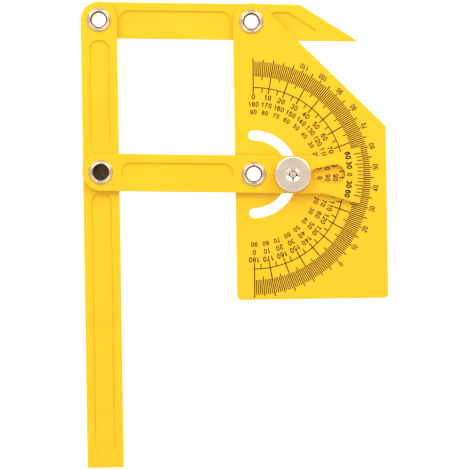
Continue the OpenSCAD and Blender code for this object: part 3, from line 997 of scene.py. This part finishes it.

# %% [markdown]
# ## The thumb nut
# The nut is parted off a knurled bar. The knurls run straight along the side, and the lathe
# then cuts a low chamfer through them at each end, a wide countersink and a flat face. In
# numbers, the knurled radius swings between root and crown with the angle, and the radius of
# each row is the smaller of that and the turned profile. This gives the scallops where
# the chamfer runs out over the knurls, just as the tool would.
# The slopes matter to the eye. A face that leans by 26 degrees sends the view up to a lamp
# 38 degrees above the table, so the countersink lights up opposite each upper lamp.
# At the bench the countersink is staked with a narrow punch in three places, to keep the
# nut from being lost. Each mark is a groove: the height drops by depth * exp(-(d / width)^2),
# where d is the distance from the groove's middle line. The deep part of each groove is painted dark as
# shade.

# %% Build the thumb nut
KNURLS = 56
KNURL_DEPTH = 0.45
NUT_R = 10.0
SINK_R = 3.9
SINK_SLOPE = math.tan(math.radians(26))
CHAMFER_R = 9.25
# Each punch mark: its direction in degrees, its depth, how far out it reaches and its half width
STAKES = ((197, 0.45, 2.6, 0.3), (270, 0.6, 3.9, 0.44), (341, 0.6, 3.8, 0.3))
# Where a mark is deeper than this, it is painted dark as shade
PAINTED_SHADE_DEPTH = 0.28


def knurled(radius, angle, height):
    """The smaller of the turned radius and NUT_R - depth * |sin(n a / 2)| ** 0.8."""
    crown = NUT_R - KNURL_DEPTH * np.abs(np.sin(KNURLS * angle / 2)) ** 0.8
    return np.minimum(radius, crown)


def stake_marks(spots, centre, floor):
    """How far the punch pushed each spot above the floor down, summed over the three grooves."""
    x, y = spots[..., 0] - centre[0], spots[..., 1] - centre[1]
    pushed = np.zeros_like(x)
    for azimuth, depth, reach, half in STAKES:
        a = math.radians(azimuth)
        along = x * math.cos(a) + y * math.sin(a)
        across = y * math.cos(a) - x * math.sin(a)
        fade = np.clip((reach - along) / 0.3, 0, 1) * (along > 0)
        pushed += depth * fade * np.exp(-(across / half) ** 2)
    return pushed * (spots[..., 2] > floor)


nut_low, nut_high = heights("thumb_nut")
sink_r = np.linspace(SCREW_HOLE_R + 0.06, SINK_R - 0.08, 12)
sink = np.column_stack([sink_r, nut_high - (SINK_R - sink_r) * SINK_SLOPE])
sink_low = sink[0, 1] - 0.06
chamfer_r = np.linspace(CHAMFER_R, 9.72, 6)
top_chamfer = np.column_stack([chamfer_r, nut_high - 0.03 - (chamfer_r - CHAMFER_R) * SINK_SLOPE])
# Outside the chamfer the knurls are broken off steeply, so their ends read dark from above
top_break = np.column_stack([np.linspace(9.78, 10.1, 5), nut_high - np.linspace(0.42, 1.3, 5)])
foot_chamfer = np.column_stack([np.linspace(10.05, 9.5, 6), nut_low + np.linspace(0.55, 0.0, 6)])
nut_profile = np.vstack([
    [(SCREW_HOLE_R, nut_low + 0.2), (SCREW_HOLE_R, sink_low - 0.5), (SCREW_HOLE_R, sink_low)],
    sink,
    [(SINK_R, nut_high - 0.015), (SINK_R + 0.1, nut_high)],
    [(5.5, nut_high), (7.2, nut_high), (9.05, nut_high), (9.15, nut_high - 0.01)],
    top_chamfer, top_break,
    [(10.1, nut_high - 3.0), (10.1, nut_low + 0.8)],
    foot_chamfer,
    [(6.0, nut_low), (SCREW_HOLE_R + 0.2, nut_low)]])
nut_spots = spin(lock_axis, nut_profile, KNURLS * 8, knurled)
nut_spots[..., 2] -= stake_marks(nut_spots, lock_axis, sink_low - 0.01)
nut_mesh = spun_mesh("knurled_thumb_nut", nut_spots, loop=True, sharp=30)
nut = show("knurled_thumb_nut", nut_mesh, steel, "nut", ["thumb_nut"])
# The deep parts of the punch marks are painted dark as shade
darken(nut, stake_marks(face_rows(nut_mesh, "center") / MM, lock_axis, sink_low - 0.6) > PAINTED_SHADE_DEPTH)

# %% [markdown]
# ## The lock screw and its washer
# The screw is a carriage screw: a low dome behind the plate, a square neck that slides in the
# arc slot, and a threaded shank. The thread is a ripple of the radius that climbs one pitch a
# turn. Its end is turned down to the root of the thread, so a dark gap shows all round it in
# the nut's bore. The square neck is an outline carried up in four rows, because it isn't turned.

# %% Build the screw
PITCH = 0.7
SHANK_R = 2.0
HEAD_R = 4.8
THREAD_DEPTH = 0.36
shank_top = heights("lock_screw")[1]
neck_top = INDEX_Z - 0.1


def threaded(radius, angle, height):
    """A right-hand thread that fades at its ends: a triangle wave of height / pitch - a / (2 pi)."""
    wave = np.abs(((height / PITCH - angle / (2 * np.pi)) % 1) - 0.5) * 2
    begun = np.clip((height - neck_top - 0.6) / 0.5, 0, 1)
    going = np.clip((shank_top - 1.0 - height) / 0.6, 0, 1)
    return radius - THREAD_DEPTH * wave * begun * going * (radius > 1.7)


head_turn = np.radians(np.linspace(6, 90, 14))
head_dome = np.column_stack([HEAD_R * np.sin(head_turn), -1.0 - 0.9 * np.cos(head_turn)])
shank_rows = np.column_stack([
    np.full(96, SHANK_R - 0.02), np.linspace(neck_top - 0.3, shank_top - 0.9, 96)])
screw_profile = np.vstack([
    head_dome, [(HEAD_R, -0.2), (HEAD_R - 0.1, -0.1), (2.2, -0.1)], shank_rows,
    [(1.62, shank_top - 0.02), (1.56, shank_top), (1.0, shank_top), (0.3, shank_top)]])
screw_spots = spin(lock_axis, screw_profile, 96, threaded)
show("carriage_lock_screw", spun_mesh("carriage_lock_screw", screw_spots, loop=False), steel,
     "index", ["lock_screw"])

# %% Build the square neck of the screw and the flat washer


def prism(outline, low, high, edge):
    """A closed prism with a small chamfer at both ends: the outline is shrunk by edge there."""
    xy, out = outline[:, :2], outline[:, 2:]
    rows = [(edge, low), (0, low + edge), (0, high - edge), (edge, high)]
    return np.stack([np.column_stack([xy - d * out, np.full(len(xy), z)]) for d, z in rows])


NECK_HALF = 2.45
neck_loop = rounded_box(-NECK_HALF, NECK_HALF, -NECK_HALF, NECK_HALF, 0.3)
neck_rows = turned(prism(neck_loop, -0.3, neck_top, 0.15), ARM_ANGLE) + np.array([*lock_axis, 0])
show("square_screw_neck", spun_mesh("square_screw_neck", neck_rows, False), steel, "index")

lock_washer = spin(lock_axis, washer_profile(SCREW_HOLE_R, 6.0, *heights("lock_washer")))
show("flat_lock_washer", spun_mesh("flat_lock_washer", lock_washer, True), steel, "washer",
     ["lock_washer"])

# %% [markdown]
# ## Ink on plastic
# Printed scales could be painted by a shader, but a shader would have to be told about every
# tick and digit. A print is really a film of ink with edges, so here it is geometry: each
# stroke is a closed film 0.03 mm thick that lies on the face. All the ticks of one kind are
# made at once from arrays of angles.
# The screen was not quite centred when the dial was printed. Its middle lies 2.25 mm below
# the pivot, and it is turned by half a degree.

# %% Strokes of ink
INK = 0.03
# The four corners of a film's section, as parts of its width and as heights
SIDES = np.array([-0.5, 0.5, 0.5, -0.5])
RISES = np.array([-INK, -INK, INK, INK])


class Print:
    """Collects films of ink: vertices in mm and faces."""

    def __init__(self):
        self.spots, self.faces, self.count = [], [], 0

    def add(self, spots, faces):
        """Adds closed films that share one array of vertices."""
        self.spots.append(spots)
        self.faces += (faces + self.count).tolist()
        self.count += len(spots)

    def mesh(self, name, angle=0, lift=0):
        """The films as a mesh, turned about the dial pivot and lifted, with sharp edges."""
        spots = turned(np.concatenate(self.spots), angle) + np.array([0, 0, lift])
        return plain_mesh(name, spots, self.faces, smooth=False)


def film(path, aside, width, ground):
    """Four corners for each point of a path: half the width to either side, and down and up by INK."""
    xy = path[..., None, :] + SIDES[:, None] * aside[..., None, :] * width
    z = ground(xy[..., 0], xy[..., 1]) + RISES
    return np.concatenate([xy, z[..., None]], -1)


def dial_way(angle):
    """Unit vectors for dial angles in degrees, 0 at the top and growing clockwise: (sin a, cos a)."""
    a = np.radians(angle)
    return np.stack([np.sin(a), np.cos(a)], -1)


def ticks(target, centre, angles, r_in, r_out, width, ground, bends=()):
    """Bars along the radius at each angle, from r_in to r_out, that lie on the ground height.

    Each bar is a row of stations along the radius with four corners each, closed at both ends."""
    stations = np.array([r_in, *[b for b in bends if r_in < b < r_out], r_out])
    along = dial_way(angles)[:, None]
    across = np.stack([along[..., 1], -along[..., 0]], -1)
    spots = film(centre + stations[:, None] * along, across, width, ground)
    bars, rows = spots.shape[:2]
    numbers = np.arange(bars * rows * 4).reshape(bars, rows, 4)
    ahead = np.roll(numbers, -1, axis=2)
    sides = np.stack([numbers[:, :-1], numbers[:, 1:], ahead[:, 1:], ahead[:, :-1]], -1)
    ends = np.concatenate([numbers[:, 0], numbers[:, -1, ::-1]])
    target.add(spots.reshape(-1, 3), np.concatenate([sides.reshape(-1, 4), ends]))


def stroke(target, path, width, ground, closed=False):
    """A film along a path of x, y points: four corners at each point, width / 2 to either side.

    At a bend the side points move out by 1 / cos(half the turn), so the width stays the same."""
    step = np.diff(np.vstack([path[-1:], path, path[:1]]), axis=0)
    if not closed:
        step[0], step[-1] = step[1], step[-2]
    step /= np.linalg.norm(step, axis=1, keepdims=True)
    bisector = step[:-1] + step[1:]
    bisector /= np.linalg.norm(bisector, axis=1, keepdims=True)
    reach = 1 / np.maximum((bisector * step[1:]).sum(1), 0.55)
    aside = np.stack([-bisector[:, 1], bisector[:, 0]], -1) * reach[:, None]
    spots = film(path, aside, width, ground).reshape(-1, 3)
    numbers = np.arange(len(path) * 4).reshape(-1, 4)
    if closed:
        faces = skin(np.vstack([numbers, numbers[:1]]))
    else:
        faces = np.concatenate([skin(numbers), numbers[:1, ::-1], numbers[-1:]])
    target.add(spots, faces)


# %% [markdown]
# ## Numerals
# The numbers are set in a plain grotesque. Its digits are drawn here with a pen: each is one
# or two strokes along bowls and stems, in a box one unit tall, and the pen's width is the
# weight of the face. This leaves the weight free: regular on the dial, bold for the minutes
# on the fan and light for the outermost ring.

# %% Ten digits as pen strokes


def bowl(x, y, rx, ry, start, stop):
    """Points of a bowl from start to stop degrees: an ellipse squared off by raising cos to 0.85."""
    a = np.radians(np.linspace(start, stop, max(4, round(abs(stop - start) / 15)) + 1))
    squared = [np.sign(v) * np.abs(v) ** 0.85 for v in (np.cos(a), np.sin(a))]
    return np.column_stack([x + rx * squared[0], y + ry * squared[1]])


def bend_through(points):
    """A smooth run through a few points."""
    return curve_through(points, 4)


SIX_BACK = bend_through([(0.205, 0.26), (0.15, 0.385), (0.01, 0.435), (-0.14, 0.35),
                         (-0.215, 0.15), (-0.232, -0.12)])
SIX_BOWL = bowl(0, -0.15, 0.232, 0.285, 0, 360)[:-1]
# Each stroke is its points and whether it closes on itself. The 9 is the 6 turned half round
DIGITS = {
    "0": [(bowl(0, 0, 0.235, 0.435, 90, 450)[:-1], True)],
    "1": [(bend_through([(-0.17, 0.25), (-0.03, 0.29), (0.05, 0.38), (0.08, 0.49)]), False),
          (np.array([(0.09, 0.5), (0.09, -0.5)]), False)],
    "2": [(np.vstack([
        bowl(0, 0.19, 0.225, 0.245, 190, -30),
        [(0.1, -0.07), (-0.06, -0.19), (-0.19, -0.3), (-0.24, -0.43), (0.26, -0.43)]]), False)],
    "3": [(bowl(-0.01, 0.225, 0.19, 0.21, 165, -90), False),
          (bowl(0, -0.205, 0.235, 0.23, 95, -165), False)],
    "4": [(np.array([(0.1, 0.44), (-0.25, -0.18), (0.28, -0.18)]), False),
          (np.array([(0.11, 0.5), (0.11, -0.5)]), False)],
    "5": [(np.array([(0.22, 0.43), (-0.15, 0.43), (-0.195, -0.02)]), False),
          (bowl(0, -0.15, 0.235, 0.285, 148, -160), False)],
    "6": [(SIX_BACK, False), (SIX_BOWL, True)],
    "7": [(np.vstack([[(-0.25, 0.43)], bend_through(
        [(0.24, 0.43), (0.06, 0.16), (-0.05, -0.16), (-0.09, -0.5)])]), False)],
    "8": [(bowl(0, 0.225, 0.185, 0.21, 0, 360)[:-1], True),
          (bowl(0, -0.205, 0.235, 0.23, 0, 360)[:-1], True)],
    "9": [(-SIX_BACK, False), (-SIX_BOWL, True)]}
REGULAR = 0.185
BOLD = 0.25
LIGHT = 0.155
print("strokes in the ten digits:", sum(len(strokes) for strokes in DIGITS.values()))


def number(target, weight, value, centre, radius, angle, tall, pitch, ground,
           squeeze=1.0, upside_down=False):
    """Draws a number at a dial angle: tops outwards, or inwards where it is upside down.

    A point (x, y) of a digit goes to radius + y along the radius and x across it, clockwise."""
    out = dial_way(angle)
    right = np.array([out[1], -out[0]])
    foot = np.asarray(centre) + radius * out
    if upside_down:
        out, right = -out, -right
    for place, digit in enumerate(str(value)):
        shift = (place - (len(str(value)) - 1) / 2) * pitch
        for points, closed in DIGITS[digit]:
            x = points[:, 0] * tall * squeeze + shift
            y = points[:, 1] * tall
            path = foot + x[:, None] * right + y[:, None] * out
            stroke(target, path, weight * tall, ground, closed)


# %% Print the dial
PRINT_CENTRE = np.array([0.0, -2.25])
PRINT_TURN = 0.5
LINE_RING_R = 49.9
LINE_RING_WIDTH = 0.52
# The short ticks under the line ring sit a little past their places
FIVE_SHIFT = 0.75
PLATE_FACE = heights("protractor_plate")[1]


def plate_face(x, y):
    """The plate's front is flat."""
    return np.full_like(x, PLATE_FACE)


dial = Print()
degrees = np.arange(0, 181)
way = degrees + PRINT_TURN
fives = way[degrees % 10 == 5]
# Ticks: at which angles, from which radius to which, and how wide
for angles, r_in, r_out, width in (
        (way[degrees % 5 != 0], 55.9, 64.2, 0.52),
        (fives, 54.2, 65.3, 0.55),
        (way[degrees % 10 == 0], 46.8, 65.9, 0.58),
        (fives + FIVE_SHIFT, 47.2, 49.8, 0.54)):
    ticks(dial, PRINT_CENTRE, angles, r_in, r_out, width, plate_face)
stroke(dial, PRINT_CENTRE + LINE_RING_R * dial_way(way), LINE_RING_WIDTH, plate_face)
# Three rings of numbers: the value, the radius, the height and the pitch
for ten in range(0, 181, 10):
    for value, radius, tall, pitch in (
            (ten, 44.9, 2.8, 2.15), (180 - ten, 40.7, 2.7, 2.1), (abs(90 - ten), 36.4, 2.5, 1.95)):
        number(dial, REGULAR, value, PRINT_CENTRE, radius, ten + PRINT_TURN, tall, pitch, plate_face)
# The outermost ring counts the other way and is read from outside
for value in range(0, 111, 10):
    number(dial, LIGHT, value, PRINT_CENTRE, 67.2, 135 - value + PRINT_TURN, 2.9, 1.75, plate_face,
           squeeze=0.8, upside_down=True)
show("dial_print", dial.mesh("dial_print"), ink, "plate")

# %% [markdown]
# ## The scale on the fan
# The fan carries a short scale that is read against the dial, with sixty at both ends and
# nought in the middle. Its ticks run down the bevel, so they are bars whose height follows
# the bevel, with a few stations round the bend.

# %% Print the index scale
PIVOT = np.zeros(2)
# Dial angles of the arm's own scale: its nought, and how far its sixties are from that
FAN_MIDDLE = 89.6
FAN_SCALE = 11.5
fan_print = Print()
tick_angles = FAN_MIDDLE + np.arange(-6, 7) * (FAN_SCALE / 6)
long_ones = [0, 3, 9, 12]
for angles, r_in, width in (
        (tick_angles[long_ones], 55.8, 0.48), (np.delete(tick_angles, long_ones), 57.2, 0.46)):
    ticks(fan_print, PIVOT, angles, r_in, 60.1, width, bevel_front, bend_radii)
for value, part, weight in (
        (60, -1, BOLD), (30, -0.5, BOLD), (0, 0, REGULAR), (30, 0.5, BOLD), (60, 1, BOLD)):
    angle = FAN_MIDDLE + part * FAN_SCALE
    number(fan_print, weight, value, PIVOT, 52.6, angle, 2.85, 2.25, bevel_front)
fan_mesh = fan_print.mesh("index_print", ARM_ANGLE, INDEX_Z)
show("index_print", fan_mesh, ink, "index")

# %% [markdown]
# ## Floor, world and lamps
# The square lies on a white sweep under soft boxes: two strong ones towards its top corners,
# two weak ones towards its bottom corners, and two small low ones that reach the chamfers and
# the beads. The sweep glows a little, so it burns out to white and shows no shadow, while the
# plastic keeps its modelling from the boxes at the top.

# %% Floor
floor_material, floor_place = start_material("matt_white_sweep")
# Paper fibres about 0.8 mm long
fibres = add_node(floor_material, "ShaderNodeTexNoise", {
    "Vector": floor_place, "Scale": per_mm(0.8), "Detail": 2.0})
fibre_bump = add_node(floor_material, "ShaderNodeBump", {
    "Height": fibres.outputs["Fac"], "Strength": 0.1, "Distance": 0.02 * MM})
floor_shader = add_node(floor_material, "ShaderNodeBsdfPrincipled", {
    "Base Color": linear("A4A4A4"), "Roughness": 0.9, "Specular IOR Level": 0.1,
    "Emission Color": linear("FFFFFF"), "Emission Strength": 1.0,
    "Normal": fibre_bump.outputs[0]})
end_material(floor_material, floor_shader)

FLOOR_HALF = 3000
floor_corners = FLOOR_HALF * np.array([[-1, -1], [1, -1], [1, 1], [-1, 1]])
floor_spots = np.column_stack([floor_corners, np.full(4, cad_low[2] / MM)])
floor_mesh = plain_mesh("floor", floor_spots, [[0, 1, 2, 3]])
floor_mesh.materials.append(floor_material)
floor = bpy.data.objects.new("floor", floor_mesh)
bpy.context.scene.collection.objects.link(floor)

# %% World and lamps
world = bpy.data.worlds.new("dim_ceiling")
bpy.context.scene.world = world
world.use_nodes = True
ceiling = world.node_tree.nodes["Background"]
ceiling.inputs["Color"].default_value = linear("F4F2EE")
ceiling.inputs["Strength"].default_value = 0.72


def soft_box(name, azimuth, elevation, distance, size, power):
    """A square lamp that faces the dial pivot: degrees, then metres, metres and watts."""
    data = bpy.data.lights.new(name, "AREA")
    data.shape = "SQUARE"
    data.size = size
    data.energy = power
    lamp = bpy.data.objects.new(name, data)
    a, e = math.radians(azimuth), math.radians(elevation)
    away = np.array([math.cos(a) * math.cos(e), math.sin(a) * math.cos(e), math.sin(e)])
    lamp.location = away * distance
    lamp.rotation_euler = (math.pi / 2 - e, 0, a + math.pi / 2)
    lamp.visible_camera = False
    bpy.context.scene.collection.objects.link(lamp)


soft_box("upper_left_box", 128, 42, 1.3, 0.8, 6.6)
soft_box("upper_right_box", 52, 42, 1.3, 0.8, 6.6)
soft_box("lower_left_box", 218, 55, 1.3, 0.7, 1.6)
soft_box("lower_right_box", 322, 55, 1.3, 0.7, 1.6)
soft_box("left_rim_box", 138, 12, 1.2, 0.35, 1.2)
soft_box("right_rim_box", 42, 12, 1.2, 0.35, 1.2)

# %% [markdown]
# ## Camera
# The view is straight down through a long lens, which keeps the edges of the square parallel.
# It takes in a little more than the long arm, and it is turned by less than a degree, as if
# the camera stand were not quite square to the table.

# %% Camera
LENS = 250.0
SENSOR = 36.0
VIEW_HEIGHT = 258.5
TURN = 0.9
# Where the lens points, in mm from the middle of the box
AIM_X = -0.23
AIM_Y = -1.37

camera_data = bpy.data.cameras.new("camera")
camera_data.lens = LENS
camera_data.sensor_width = SENSOR
camera_data.clip_end = 20
camera = bpy.data.objects.new("camera", camera_data)
bpy.context.scene.collection.objects.link(camera)
distance = VIEW_HEIGHT / 2 / (SENSOR / 2 / LENS)
box_middle = (np.array(cad_low) + np.array(cad_high)) / 2 / MM
camera.location = (
    (box_middle[0] + AIM_X) * MM, (box_middle[1] + AIM_Y) * MM, (PLATE_FACE + distance) * MM)
camera.rotation_euler = (0, 0, math.radians(-TURN))
bpy.context.scene.camera = camera
bpy.context.scene.view_settings.view_transform = "Standard"
print("camera is", round(distance), "mm above the dial")
